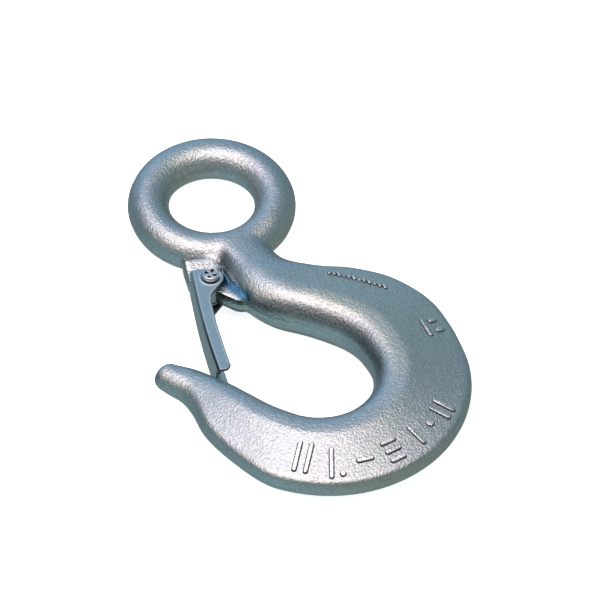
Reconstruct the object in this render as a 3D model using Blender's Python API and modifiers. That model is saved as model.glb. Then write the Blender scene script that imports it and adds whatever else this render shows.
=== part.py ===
"""Forged eye hook with a spring latch.

The hook lies flat: X and Y span its plane, +Y points from the bowl to the eye along the load line,
and +Z is the plane's normal. Plan positions below are measured from the centre of the eye.
"""

import math

import bmesh
import bpy
from mathutils import Vector

MM = 0.001

# The eye's centre in the part's frame, whose origin is under the middle of the whole hook.
EYE_X = 0.24
EYE_Y = 55.82
MID_Z = 9.6

# Eye: a ring of round section.
EYE_RING_RADIUS = 21.6
EYE_BAR_RADIUS = 6.95

# Bowl: two arcs, the saddle that carries the load and the back.
SADDLE_CENTRE = (-0.1, -89.7)
SADDLE_RADIUS = 19.4
BACK_CENTRE = (2.2, -91.8)
BACK_RADIUS = 48.4
BOWL_START_DEG = 9.0
BOWL_END_DEG = -141.0
BOWL_STATIONS = 11
BELLY = 9.6
BELLY_FLAT = 0.2
BACK_EDGE = 5.0
SADDLE_ROUND = 8.0
BACK_ROUND = 3.8

# Latch pivot: its place in plan, and how far the closed latch leans from the load line.
PIVOT = (-16.3, -34.9)
LATCH_LEAN_DEG = -13.0
PIN_RADIUS = 2.0
PIN_HOLE_RADIUS = 2.3
TONGUE_HALF = 3.2
TONGUE_ROUND = 3.8
BOSS_HALF = 6.9
BOSS_ROUND = 4.8
BOSS_GAP = 0.5

# Latch: a pressed channel.
SHEET = 1.2
BEND_ROUND = 1.1
CHANNEL_HALF = 6.6
CHANNEL_FLARE = 0.5
CHEEK_ROUND = 4.4
WEB_FACE_X = -6.4
LATCH_LENGTH = 43.0
WEB_END_Y = -41.0

# Rivet heads beyond the cheeks.
HEAD_GAP = 0.3
STAKED_RADIUS = 2.9
STAKED_HEIGHT = 1.7
FORMED_RADIUS = 3.6
FORMED_HEIGHT = 1.7

# Spring: a wire wound beside the tongue, with a leg on the neck and a bridge on the web.
WIRE_RADIUS = 0.35
COIL_RADIUS = 3.0
COIL_TURNS = 1.25
COIL_STEPS = 16
COIL_PITCH = 0.75
COIL_LOW = 3.85
SPRING_LEG = 7.5
BRIDGE_X = -4.65
BRIDGE_Y = -12.0

# Stations from the eye down the shank: saddle-side point, back-side point, half thickness at the
# saddle side and at the back, and how far each edge's rounding reaches into the section.
SHANK = (
    ((-8.0, -19.0), (9.0, -19.0), 7.0, 7.0, 8.5, 8.5),
    ((-8.3, -29.5), (10.4, -30.5), 7.6, 7.2, 9.3, 9.3),
    ((-9.6, -43.5), (13.5, -36.4), 9.0, 7.2, 10.0, 9.5),
    ((-3.9, -55.0), (21.7, -42.3), 9.6, 6.2, 9.0, 7.0),
    ((4.7, -63.3), (31.2, -47.7), 9.6, 5.4, 8.5, 5.0),
    ((11.9, -70.6), (41.0, -55.2), 9.6, 5.0, 8.0, 4.0),
    ((17.6, -79.8), (48.1, -68.7), 9.6, 5.0, 8.0, 3.8),
)
TIP = (
    ((-20.5, -94.4), (-41.5, -109.0), 9.2, 5.0, 8.0, 3.8),
    ((-25.3, -86.1), (-45.3, -94.5), 8.2, 5.0, 7.5, 3.8),
    ((-29.1, -79.0), (-46.0, -82.5), 6.8, 5.0, 7.0, 4.2),
    ((-32.3, -73.8), (-46.9, -76.0), 5.8, 5.0, 6.5, 5.0),
    ((-36.5, -67.9), (-49.2, -71.1), 5.4, 5.0, 6.2, 5.5),
    ((-41.0, -63.6), (-50.7, -67.8), 5.0, 4.8, 5.1, 5.1),
)
NOSE_LENGTH = 4.4
NOSE_RINGS = 4
RINGS_PER_STATION = 3
SADDLE_STEPS = 6
BACK_STEPS = 4


def remove_everything():
    for obj in list(bpy.data.objects):
        bpy.data.objects.remove(obj, do_unlink=True)


def collection(name):
    made = bpy.data.collections.new(name)
    bpy.context.scene.collection.children.link(made)
    return made


def steel(name, colour, roughness):
    material = bpy.data.materials.new(name)
    material.use_nodes = True
    shader = material.node_tree.nodes["Principled BSDF"]
    shader.inputs["Base Color"].default_value = (*colour, 1.0)
    shader.inputs["Metallic"].default_value = 1.0
    shader.inputs["Roughness"].default_value = roughness
    return material


def empty(name, parent, place, turn_deg=0.0):
    """A frame in the hook's plane, placed in millimetres under its parent."""
    made = bpy.data.objects.new(name, None)
    bpy.context.scene.collection.objects.link(made)
    made.parent = parent
    made.location = Vector(place) * MM
    made.rotation_euler = (0.0, 0.0, math.radians(turn_deg))
    return made


def add_object(name, mesh, parent, home):
    made = bpy.data.objects.new(name, mesh)
    home.objects.link(made)
    made.parent = parent
    return made


def arc(centre, radius, start_deg, end_deg, steps):
    """Points in millimetres on a circle, both ends included."""
    points = []
    for step in range(steps + 1):
        angle = math.radians(start_deg + (end_deg - start_deg) * step / steps)
        points.append((centre[0] + radius * math.cos(angle), centre[1] + radius * math.sin(angle)))
    return points


def blend_numbers(before, start, end, after, share):
    """Catmull-Rom between start and end, on numbers or on tuples of them."""
    if isinstance(start, tuple):
        return tuple(blend_numbers(*four, share) for four in zip(before, start, end, after))
    slope_start = (end - before) / 2
    slope_end = (after - start) / 2
    square = share * share
    cube = square * share
    return (
        (2 * cube - 3 * square + 1) * start
        + (cube - 2 * square + share) * slope_start
        + (3 * square - 2 * cube) * end
        + (cube - square) * slope_end
    )


def hook_stations():
    """The shank's, bowl's and tip's stations, in order from the eye to the tip."""
    stations = list(SHANK)
    saddle = arc(SADDLE_CENTRE, SADDLE_RADIUS, BOWL_START_DEG, BOWL_END_DEG, BOWL_STATIONS - 1)
    back = arc(BACK_CENTRE, BACK_RADIUS, BOWL_START_DEG, BOWL_END_DEG, BOWL_STATIONS - 1)
    for inner, outer in zip(saddle, back):
        stations.append((inner, outer, BELLY, BACK_EDGE, SADDLE_ROUND, BACK_ROUND))
    stations.extend(TIP)
    return stations


def section(station):
    """The closed outline of one cross-section: (distance from the saddle side, height) pairs."""
    inner, outer, belly, edge, round_in, round_out = station
    width = math.dist(inner, outer)
    belly = min(belly, BELLY)
    upper = []
    for step in range(SADDLE_STEPS + 1):
        angle = math.radians(90.0 * step / SADDLE_STEPS)
        upper.append((round_in * (1 - math.cos(angle)), belly * math.sin(angle)))
    flat_end = round_in + BELLY_FLAT * max(width - round_in - round_out, 0.0)
    upper.append((flat_end, belly))
    for step in range(BACK_STEPS + 1):
        angle = math.radians(90.0 * step / BACK_STEPS)
        upper.append((width - round_out * (1 - math.sin(angle)), edge * math.cos(angle)))
    lower = [(along, -height) for along, height in reversed(upper[1:-1])]
    return upper + lower


def ring_points(station, centre_shift=(0.0, 0.0), shrink=1.0):
    """A section's points in space, metres, shrunk towards its middle and shifted in plan."""
    inner = Vector(station[0])
    outer = Vector(station[1])
    across = (outer - inner).normalized()
    middle = (outer - inner).length / 2
    points = []
    for along, height in section(station):
        plan = inner + across * (middle + (along - middle) * shrink)
        points.append(
            Vector((plan.x + centre_shift[0], plan.y + centre_shift[1], height * shrink)) * MM
        )
    return points


def shank_and_bowl_mesh():
    """A loft through the stations, closed flat inside the eye and rounded at the tip."""
    stations = hook_stations()
    rings = []
    last = len(stations) - 1
    for index in range(last):
        four = [stations[min(max(index + step, 0), last)] for step in (-1, 0, 1, 2)]
        for step in range(RINGS_PER_STATION):
            rings.append(ring_points(blend_numbers(*four, step / RINGS_PER_STATION)))
    end = stations[-1]
    rings.append(ring_points(end))
    across = (Vector(end[1]) - Vector(end[0])).normalized()
    ahead = Vector((across.y, -across.x))
    for step in range(1, NOSE_RINGS + 1):
        angle = math.radians(84.0 * step / NOSE_RINGS)
        shift = ahead * NOSE_LENGTH * math.sin(angle)
        rings.append(ring_points(end, shift, math.cos(angle)))

    mesh = bpy.data.meshes.new("shank_and_bowl")
    bm = bmesh.new()
    made = [[bm.verts.new(point) for point in ring] for ring in rings]
    for ring, following in zip(made, made[1:]):
        for index in range(len(ring)):
            after = (index + 1) % len(ring)
            bm.faces.new((ring[index], ring[after], following[after], following[index]))
    bm.faces.new(reversed(made[0]))
    bm.faces.new(made[-1])
    bmesh.ops.recalc_face_normals(bm, faces=bm.faces)
    bm.to_mesh(mesh)
    bm.free()
    return mesh


def extruded_outline(name, points, half_thickness, parent, home):
    """A flat outline, in millimetres, made solid to both sides of its frame's plane."""
    curve = bpy.data.curves.new(name, "CURVE")
    curve.dimensions = "2D"
    curve.fill_mode = "BOTH"
    curve.extrude = half_thickness * MM
    spline = curve.splines.new("POLY")
    spline.points.add(len(points) - 1)
    for point, (x, y) in zip(spline.points, points):
        point.co = (x * MM, y * MM, 0.0, 1.0)
    spline.use_cyclic_u = True
    drawn = add_object(name + "_outline", curve, parent, home)
    bpy.context.view_layer.update()
    mesh = bpy.data.meshes.new_from_object(drawn.evaluated_get(bpy.context.evaluated_depsgraph_get()))
    bm = bmesh.new()
    bm.from_mesh(mesh)
    bmesh.ops.remove_doubles(bm, verts=bm.verts, dist=0.000001)
    bmesh.ops.recalc_face_normals(bm, faces=bm.faces)
    bm.to_mesh(mesh)
    bm.free()
    made = add_object(name, mesh, parent, home)
    bpy.data.objects.remove(drawn, do_unlink=True)
    return made


def cylinder(name, radius, low, high, parent, home, segments=24):
    """A round cutter or bar along Z, from low to high in millimetres."""
    mesh = bpy.data.meshes.new(name)
    bm = bmesh.new()
    bmesh.ops.create_cone(
        bm,
        cap_ends=True,
        segments=segments,
        radius1=radius * MM,
        radius2=radius * MM,
        depth=(high - low) * MM,
    )
    bmesh.ops.translate(bm, verts=bm.verts, vec=(0.0, 0.0, (high + low) / 2 * MM))
    bm.to_mesh(mesh)
    bm.free()
    return add_object(name, mesh, parent, home)


def boolean(target, tool, operation):
    modifier = target.modifiers.new(operation.lower() + "_" + tool.name, "BOOLEAN")
    modifier.operation = operation
    modifier.solver = "EXACT"
    modifier.object = tool
    tool.hide_render = True
    tool.display_type = "WIRE"


def bevel_edges(obj, chosen, width, segments):
    """Round the edges that the test picks, on the mesh itself."""
    bm = bmesh.new()
    bm.from_mesh(obj.data)
    edges = [edge for edge in bm.edges if chosen(edge)]
    bmesh.ops.bevel(
        bm,
        geom=edges,
        offset=width * MM,
        segments=segments,
        profile=0.5,
        affect="EDGES",
    )
    bm.to_mesh(obj.data)
    bm.free()


def smooth_shading(obj, angle_deg=35.0):
    obj.data.shade_smooth()
    obj.data.set_sharp_from_angle(angle=math.radians(angle_deg))


def eye_ring(datum, home):
    bpy.ops.mesh.primitive_torus_add(
        major_segments=44,
        minor_segments=18,
        major_radius=EYE_RING_RADIUS * MM,
        minor_radius=EYE_BAR_RADIUS * MM,
    )
    ring = bpy.context.object
    ring.name = "eye_ring"
    for owner in list(ring.users_collection):
        owner.objects.unlink(ring)
    home.objects.link(ring)
    ring.parent = datum
    return ring


def on_rim(edge):
    """True on an edge between a flat face and a side, not between two parts of one flat face."""
    first, second = edge.verts
    level = abs(first.co.z - second.co.z) < 0.01 * MM
    return level and edge.calc_face_angle(0.0) > math.radians(60.0)


def boss(frame, home):
    """The thick pad between the ring and the latch, as wide as the closed latch."""
    low = CHEEK_ROUND + BOSS_GAP
    outline = [(WEB_FACE_X, low), (5.0, low), (9.0, 9.0), (6.0, 16.0), (-2.0, 16.0), (WEB_FACE_X, 12.0)]
    made = extruded_outline("boss", outline, BOSS_HALF, frame, home)
    bevel_edges(
        made,
        lambda edge: on_rim(edge) and max(vert.co.x for vert in edge.verts) < WEB_FACE_X * MM * 0.9,
        BOSS_ROUND,
        4,
    )
    return made


def tongue(frame, home):
    """The thin tongue that the latch's cheeks straddle."""
    outline = arc((0.0, 0.0), TONGUE_ROUND, 180.0, 285.0, 8)
    outline += [(5.2, -7.4), (8.7, -10.6), (14.0, -8.0), (10.0, 8.0), (-TONGUE_ROUND, 8.0)]
    return extruded_outline("tongue", outline, TONGUE_HALF, frame, home)


def hook_body(datum, pivot, parts, tools):
    body = add_object("hook_body", shank_and_bowl_mesh(), datum, parts)
    boolean(body, eye_ring(datum, tools), "UNION")
    boolean(body, boss(pivot, tools), "UNION")
    boolean(body, tongue(pivot, tools), "UNION")
    boolean(body, cylinder("pin_bore", PIN_HOLE_RADIUS, -12.0, 12.0, pivot, tools), "DIFFERENCE")
    body.data.materials.append(steel("plated_forging", (0.47, 0.53, 0.55), 0.42))
    smooth_shading(body)
    return body


def flare(obj):
    """Widen the channel slowly from the pivot to its free end."""
    for vert in obj.data.vertices:
        share = -vert.co.y / (LATCH_LENGTH * MM)
        vert.co.z += math.copysign(CHANNEL_FLARE * MM * share, vert.co.z)


def web_line(offset, top, bottom, steps):
    """The slightly bowed line of the latch's web, from top to bottom."""
    points = []
    for step in range(steps + 1):
        y = top + (bottom - top) * step / steps
        share = (y - top) / (-LATCH_LENGTH - top)
        bow = 0.5 * math.sin(math.pi * min(max(share, 0.0), 1.0))
        points.append((WEB_FACE_X + offset - bow + 0.5 * share, y))
    return points


def latch(pivot, parts, tools):
    """A channel pressed from sheet: the web towards the throat's outside, a cheek on each side."""
    corner = 1.6
    outline = web_line(0.0, CHEEK_ROUND - corner, -LATCH_LENGTH, 8)
    outline += arc((-3.6, -LATCH_LENGTH + 2.6), 2.6, 270.0, 360.0, 5)
    outline += [(-1.5, -34.0), (-1.8, -21.0), (-1.5, -11.0), (-0.9, -7.4)]
    outline += arc((0.0, 0.0), CHEEK_ROUND, -42.0, 90.0, 10)
    outline += arc((WEB_FACE_X + corner, CHEEK_ROUND - corner), corner, 90.0, 162.0, 3)
    made = extruded_outline("latch", outline, CHANNEL_HALF, pivot, parts)

    bevel_edges(
        made,
        lambda edge: on_rim(edge) and max(vert.co.x for vert in edge.verts) < WEB_FACE_X * MM * 0.85,
        BEND_ROUND,
        3,
    )
    flare(made)

    inside = web_line(SHEET, 12.0, WEB_END_Y, 8)
    inside += [(-12.0, WEB_END_Y), (-12.0, -50.0), (8.0, -50.0), (8.0, 12.0)]
    channel = extruded_outline("latch_channel", inside, CHANNEL_HALF - SHEET, pivot, tools)
    flare(channel)
    boolean(made, channel, "DIFFERENCE")
    boolean(made, cylinder("latch_pin_holes", PIN_HOLE_RADIUS, -12.0, 12.0, pivot, tools), "DIFFERENCE")
    made.data.materials.append(steel("plated_sheet", (0.45, 0.51, 0.57), 0.3))
    smooth_shading(made)
    return made


def latch_pin(pivot, parts):
    """The rivet: a turned bar with a domed head below and a staked collar above."""
    face = CHANNEL_HALF + HEAD_GAP
    profile = [
        (0.0, face + STAKED_HEIGHT),
        (STAKED_RADIUS - 0.5, face + STAKED_HEIGHT),
        (STAKED_RADIUS, face + STAKED_HEIGHT - 0.5),
        (STAKED_RADIUS, face),
        (PIN_RADIUS, face),
        (PIN_RADIUS, -face),
        (FORMED_RADIUS, -face),
        (FORMED_RADIUS * 0.92, -face - FORMED_HEIGHT * 0.55),
        (FORMED_RADIUS * 0.6, -face - FORMED_HEIGHT * 0.92),
        (0.0, -face - FORMED_HEIGHT),
    ]
    mesh = bpy.data.meshes.new("latch_pin")
    points = [(x * MM, 0.0, z * MM) for x, z in profile]
    mesh.from_pydata(points, [(step, step + 1) for step in range(len(points) - 1)], [])
    made = add_object("latch_pin", mesh, pivot, parts)
    turn = made.modifiers.new("turn", "SCREW")
    turn.axis = "Z"
    turn.steps = 24
    turn.render_steps = 24
    turn.use_merge_vertices = True
    turn.merge_threshold = 0.00001
    made.data.materials.append(steel("rivet_steel", (0.52, 0.56, 0.6), 0.3))
    return made


def spring_side(side):
    """One side's wire, from its leg on the neck, round the coil, to its corner on the web."""
    points = [(SPRING_LEG, COIL_RADIUS, COIL_LOW)]
    steps = round(COIL_TURNS * COIL_STEPS)
    for step in range(steps + 1):
        turned = COIL_TURNS * step / steps
        angle = math.radians(90.0 + 360.0 * turned)
        height = COIL_LOW + COIL_PITCH * turned
        points.append((COIL_RADIUS * math.cos(angle), COIL_RADIUS * math.sin(angle), height))
    top = COIL_LOW + COIL_PITCH * COIL_TURNS
    points.append((-3.6, -3.0, top))
    points.append((BRIDGE_X, -6.5, top))
    points.append((BRIDGE_X, BRIDGE_Y + 1.0, top))
    points.append((BRIDGE_X, BRIDGE_Y + 0.3, top - 0.3))
    points.append((BRIDGE_X, BRIDGE_Y, top - 1.0))
    return [(x, y, side * z) for x, y, z in points]


def latch_spring(pivot, parts):
    """A double torsion spring: a coil on each side of the tongue, joined by a bridge on the web."""
    points = spring_side(1.0) + spring_side(-1.0)[::-1]
    wire = bpy.data.curves.new("latch_spring", "CURVE")
    wire.dimensions = "3D"
    wire.bevel_depth = WIRE_RADIUS * MM
    wire.bevel_resolution = 2
    wire.use_fill_caps = True
    spline = wire.splines.new("POLY")
    spline.points.add(len(points) - 1)
    for point, place in zip(spline.points, points):
        point.co = (*(Vector(place) * MM), 1.0)
    made = add_object("latch_spring", wire, pivot, parts)
    wire.materials.append(steel("spring_wire", (0.35, 0.37, 0.4), 0.3))
    return made


def main():
    remove_everything()
    parts = collection("eye_hook")
    tools = collection("cutters")
    datum = empty("hook_datum", None, (EYE_X, EYE_Y, MID_Z))
    pivot = empty("latch_pivot_axis", datum, (*PIVOT, 0.0), LATCH_LEAN_DEG)
    hook_body(datum, pivot, parts, tools)
    latch(pivot, parts, tools)
    latch_pin(pivot, parts)
    latch_spring(pivot, parts)


main()
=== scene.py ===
"""Looks for the forged eye hook with a spring latch.

Sizes are in millimetres and turned into metres as each mesh is finished. The hook's plan positions are
measured from the centre of its eye, and the latch's parts from the latch's pivot.
"""

import math

import bmesh
import bpy
import numpy as np
from mathutils import Matrix, Vector, noise
from mathutils.bvhtree import BVHTree

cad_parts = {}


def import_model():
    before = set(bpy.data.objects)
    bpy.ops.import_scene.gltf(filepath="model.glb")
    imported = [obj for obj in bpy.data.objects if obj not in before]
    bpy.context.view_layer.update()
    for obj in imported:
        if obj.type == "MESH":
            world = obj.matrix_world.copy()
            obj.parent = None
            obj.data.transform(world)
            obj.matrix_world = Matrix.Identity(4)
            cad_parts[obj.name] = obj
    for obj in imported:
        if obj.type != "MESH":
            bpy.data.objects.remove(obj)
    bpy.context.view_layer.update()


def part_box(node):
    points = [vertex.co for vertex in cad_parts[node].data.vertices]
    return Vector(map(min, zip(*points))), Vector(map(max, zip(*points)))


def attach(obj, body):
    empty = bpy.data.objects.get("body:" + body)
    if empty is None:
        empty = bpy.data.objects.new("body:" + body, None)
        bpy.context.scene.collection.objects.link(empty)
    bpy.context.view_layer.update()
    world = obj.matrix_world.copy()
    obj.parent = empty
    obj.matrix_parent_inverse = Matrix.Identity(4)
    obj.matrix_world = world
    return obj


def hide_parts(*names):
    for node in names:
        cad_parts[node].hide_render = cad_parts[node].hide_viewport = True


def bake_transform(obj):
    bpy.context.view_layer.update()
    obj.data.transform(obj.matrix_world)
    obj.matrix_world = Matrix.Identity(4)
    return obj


MM = 0.001

# The eye's centre in the part's frame, and the latch's pivot from there.
EYE_CENTRE = (0.24, 55.82, 9.6)
PIVOT = (-16.3, -34.9)
LATCH_LEAN_DEG = -13.0

# Eye: a ring of round section.
EYE_RING_RADIUS = 21.6
EYE_BAR_RADIUS = 6.95

# Bowl: two arcs, the saddle that carries the load and the back.
SADDLE_CENTRE = (-0.8, -89.9)
SADDLE_RADIUS = 18.5
BACK_CENTRE = (2.2, -91.8)
BACK_RADIUS = 48.4
BOWL_START_DEG = 0.0
BOWL_END_DEG = -141.0
BOWL_STATIONS = 11
BELLY_LIMIT = 9.6
BELLY_FLAT = 0.17

# Stations from the eye down the shank, round the bowl and up the tip: saddle-side point, back-side
# point, then the half thickness at the saddle, the height and inset of the back's corner, and how
# far the rounding reaches from the saddle, along the face and down the back wall.
SHANK = (
    ((-11.0, -18.0), (9.0, -19.0), 7.1, 7.0, 0.0, 4.0, 8.5, 7.0),
    ((-8.9, -29.5), (10.4, -30.5), 7.6, 7.2, 0.0, 5.5, 9.3, 7.2),
    ((-9.6, -43.5), (13.5, -36.4), 9.0, 7.2, 0.0, 10.0, 9.5, 7.2),
    ((-3.9, -55.0), (21.6, -42.7), 9.6, 6.0, 0.1, 9.0, 6.5, 5.6),
    ((4.7, -63.3), (31.3, -47.8), 9.6, 4.7, 0.2, 8.5, 4.2, 4.0),
    ((11.2, -70.4), (40.6, -55.8), 9.6, 3.9, 0.3, 8.0, 2.6, 2.6),
    ((14.7, -75.4), (46.2, -64.8), 9.6, 3.7, 0.2, 8.0, 1.8, 1.8),
    ((16.7, -80.4), (49.3, -73.1), 9.6, 3.6, 0.1, 8.0, 1.5, 1.5),
    ((17.5, -85.2), (50.5, -81.8), 9.6, 3.5, 0.1, 8.0, 1.4, 1.4),
)
BOWL = (9.6, 3.4, 0.3, 8.0, 1.3, 1.3)
TIP = (
    ((-20.5, -94.4), (-41.5, -109.0), 9.2, 3.5, 0.6, 8.0, 1.3, 1.3),
    ((-24.9, -86.2), (-45.3, -94.5), 8.2, 3.9, 0.4, 7.5, 1.9, 1.9),
    ((-28.7, -79.0), (-45.2, -82.3), 6.8, 4.6, 0.2, 7.0, 3.6, 3.2),
    ((-32.2, -73.4), (-46.4, -75.9), 5.8, 5.0, 0.0, 6.5, 5.0, 5.0),
    ((-36.4, -67.8), (-49.0, -71.1), 5.4, 5.0, 0.0, 6.2, 5.5, 5.0),
    ((-41.4, -63.2), (-50.9, -67.2), 4.9, 4.8, 0.0, 5.1, 5.1, 4.8),
)
NOSE_LENGTH = 3.8
NOSE_TURN_DEG = 88.0


def arc(centre, radius, start_deg, end_deg, steps):
    """Points on a circle, both ends included."""
    angles = np.radians(np.linspace(start_deg, end_deg, steps + 1))
    return [(centre[0] + radius * math.cos(a), centre[1] + radius * math.sin(a)) for a in angles]


def new_object(name, mesh):
    made = bpy.data.objects.new(name, mesh)
    bpy.context.scene.collection.objects.link(made)
    return made


# ---------------------------------------------------------------- the forging's shape


def station_table():
    """One row of numbers for each station, from the eye to the tip."""
    rows = [(*inner, *outer, *rest) for inner, outer, *rest in SHANK]
    saddle = arc(SADDLE_CENTRE, SADDLE_RADIUS, BOWL_START_DEG, BOWL_END_DEG, BOWL_STATIONS - 1)
    back = arc(BACK_CENTRE, BACK_RADIUS, BOWL_START_DEG, BOWL_END_DEG, BOWL_STATIONS - 1)
    rows += [(*inner, *outer, *BOWL) for inner, outer in zip(saddle, back)]
    rows += [(*inner, *outer, *rest) for inner, outer, *rest in TIP]
    return np.array(rows)


def catmull_rom(rows, per_span):
    """The rows with smooth ones in between."""
    padded = np.vstack([rows[:1], rows, rows[-1:]])
    made = []
    for index in range(1, len(padded) - 2):
        before, start, end, after = padded[index - 1 : index + 3]
        for share in np.arange(per_span) / per_span:
            square, cube = share**2, share**3
            made.append(
                (2 * cube - 3 * square + 1) * start
                + (cube - 2 * square + share) * (end - before) / 2
                + (3 * square - 2 * cube) * end
                + (cube - square) * (after - start) / 2
            )
    made.append(rows[-1])
    return np.array(made)


def rounded_corner(corner, first, second, steps):
    """A quarter of an ellipse from first to second, tangent to their lines to the corner."""
    turns = np.radians(np.linspace(0.0, 90.0, steps))[:, None]
    corner, first, second = np.array(corner), np.array(first), np.array(second)
    return corner + (first - corner) * (1 - np.sin(turns)) + (second - corner) * (1 - np.cos(turns))


SECTION_POINTS = 128
SECTION_SOFTNESS = 0.75
EVEN_POINTS = 1024
SADDLE_STEPS = 40
CORNER_STEPS = 24


def section(width, belly, edge, inset, round_in, round_face, round_wall):
    """The closed outline of one cross-section: (distance from the saddle side, height) rows."""
    belly = min(belly, BELLY_LIMIT)
    flat_end = round_in + BELLY_FLAT * max(width - round_in - round_face, 0.0)
    corner = np.array((width - inset, edge))
    face = np.array((flat_end, belly)) - corner
    wall = np.array((width, 0.0)) - corner
    face_point = corner + face * min(round_face / np.linalg.norm(face), 1.0)
    wall_point = corner + wall * min(round_wall / np.linalg.norm(wall), 1.0)
    upper = np.vstack(
        [
            rounded_corner((0.0, belly), (0.0, 0.0), (round_in, belly), SADDLE_STEPS),
            [(flat_end, belly)],
            rounded_corner(corner, face_point, wall_point, CORNER_STEPS),
            [(width, 0.0)],
        ]
    )
    closed = np.vstack([upper, (upper * (1, -1))[::-1][1:]])
    return softened(closed)


def softened(closed):
    """A closed outline with even spacing and its kinks eased by a Gaussian along its length."""
    steps = np.linalg.norm(np.diff(closed, axis=0), axis=1)
    keep = np.concatenate([[True], steps > 1e-6])
    closed = closed[keep]
    along = np.concatenate([[0.0], np.cumsum(np.linalg.norm(np.diff(closed, axis=0), axis=1))])
    even = np.linspace(0.0, along[-1], EVEN_POINTS, endpoint=False)
    points = np.stack([np.interp(even, along, closed[:, axis]) for axis in (0, 1)], axis=1)
    frequency = np.fft.fftfreq(EVEN_POINTS, along[-1] / EVEN_POINTS)
    damping = np.exp(-2 * (math.pi * SECTION_SOFTNESS * frequency) ** 2)[:, None]
    points = np.fft.ifft(np.fft.fft(points, axis=0) * damping, axis=0).real
    return points[:: EVEN_POINTS // SECTION_POINTS]


def shank_and_bowl(rings_per_span=10, nose_rings=10):
    """A loft through the stations, closed flat inside the eye and rounded at the tip."""
    rows = catmull_rom(station_table(), rings_per_span)
    rings = []
    for row in rows:
        inner, outer = row[0:2], row[2:4]
        width = np.linalg.norm(outer - inner)
        across = (outer - inner) / width
        outline = section(width, *row[4:])
        plan = inner + outline[:, :1] * across
        rings.append(np.column_stack([plan, outline[:, 1]]))
    middle = (inner + outer) / 2
    ahead = np.array([across[1], -across[0]])
    last = rings[-1]
    for step in range(1, nose_rings + 1):
        angle = math.radians(NOSE_TURN_DEG * step / nose_rings)
        plan = middle + (last[:, :2] - middle) * math.cos(angle) + ahead * NOSE_LENGTH * math.sin(angle)
        rings.append(np.column_stack([plan, last[:, 2] * math.cos(angle)]))

    return lofted("shank_and_bowl", np.vstack(rings), len(rings[0]))


def torus(ring_radius, bar_radius, around=200, across=72):
    """A ring of round section, lying in the plane."""
    turn = np.linspace(0.0, 2 * math.pi, around, endpoint=False)[:, None]
    spin = np.linspace(0.0, 2 * math.pi, across, endpoint=False)[None, :]
    reach = ring_radius + bar_radius * np.cos(spin)
    height = bar_radius * np.sin(spin) * np.ones_like(turn)
    points = np.stack([reach * np.cos(turn), reach * np.sin(turn), height], axis=2).reshape(-1, 3)
    faces = []
    for step in range(around):
        near, far = step * across, (step + 1) % around * across
        for corner in range(across):
            after = (corner + 1) % across
            faces.append((near + corner, far + corner, far + after, near + after))
    mesh = bpy.data.meshes.new("eye_ring")
    mesh.from_pydata(points.tolist(), [], faces)
    return mesh


def prism(name, outline, low, high):
    """An outline made solid from low to high."""
    count = len(outline)
    points = [(x, y, height) for height in (low, high) for x, y in outline]
    faces = [tuple(range(count))[::-1], tuple(range(count, 2 * count))]
    for corner in range(count):
        after = (corner + 1) % count
        faces.append((corner, after, count + after, count + corner))
    mesh = bpy.data.meshes.new(name)
    mesh.from_pydata(points, [], faces)
    return mesh


def joined(name, meshes):
    """Several closed meshes in one, with their normals outwards."""
    bm = bmesh.new()
    for mesh in meshes:
        bm.from_mesh(mesh)
    bmesh.ops.recalc_face_normals(bm, faces=bm.faces)
    made = bpy.data.meshes.new(name)
    bm.to_mesh(made)
    bm.free()
    return made


def evaluated(obj, name):
    """The object's mesh with its modifiers applied; the object goes."""
    graph = bpy.context.evaluated_depsgraph_get()
    made = bpy.data.meshes.new_from_object(obj.evaluated_get(graph))
    made.name = name
    bpy.data.objects.remove(obj)
    return made


def fused(name, mesh, voxel):
    """One closed skin round overlapping solids."""
    source = new_object(name + "_source", mesh)
    remesh = source.modifiers.new("fuse", "REMESH")
    remesh.mode = "VOXEL"
    remesh.voxel_size = voxel
    return evaluated(source, name)


def cut(name, mesh, tool_mesh):
    """The mesh less the tool."""
    source = new_object(name + "_source", mesh)
    tool = new_object(name + "_tool", tool_mesh)
    modifier = source.modifiers.new("cut", "BOOLEAN")
    modifier.operation = "DIFFERENCE"
    modifier.solver = "EXACT"
    modifier.object = tool
    made = evaluated(source, name)
    bpy.data.objects.remove(tool)
    return made


def coordinates(mesh):
    points = np.zeros(len(mesh.vertices) * 3)
    mesh.vertices.foreach_get("co", points)
    return points.reshape(-1, 3)


def set_coordinates(mesh, points):
    mesh.vertices.foreach_set("co", points.ravel())
    mesh.update()


def vertex_normals(mesh):
    normals = np.zeros(len(mesh.vertices) * 3)
    mesh.vertex_normals.foreach_get("vector", normals)
    return normals.reshape(-1, 3)


def surface_tree(mesh):
    """The mesh's faces, ready for finding places on them."""
    points = [vertex.co for vertex in mesh.vertices]
    return BVHTree.FromPolygons(points, [face.vertices[:] for face in mesh.polygons])


def smoothed(mesh, points, weight, rounds):
    """Points eased towards their neighbours, each as far as its weight allows."""
    edges = np.zeros(len(mesh.edges) * 2, int)
    mesh.edges.foreach_get("vertices", edges)
    first, second = edges.reshape(-1, 2).T
    count = len(points)
    neighbours = np.bincount(first, minlength=count) + np.bincount(second, minlength=count)
    share = (weight * 0.6 / np.maximum(neighbours, 1))[:, None]
    for _ in range(rounds):
        total = np.zeros_like(points)
        for axis in range(3):
            total[:, axis] = np.bincount(first, points[second, axis], count)
            total[:, axis] += np.bincount(second, points[first, axis], count)
        points = points + share * (total - neighbours[:, None] * points)
    return points


def fade(distance, near, far):
    """1 closer than near, 0 past far, and smooth between."""
    share = np.clip((far - distance) / (far - near), 0.0, 1.0)
    return share * share * (3 - 2 * share)


def ramp(value, start, span):
    """0 up to the start, and 1 from a span past it."""
    return np.clip((value - start) / span, 0.0, 1.0)


def away_from(place, points):
    """How far plan positions are from a place."""
    return np.linalg.norm(points - place, axis=1)


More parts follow.
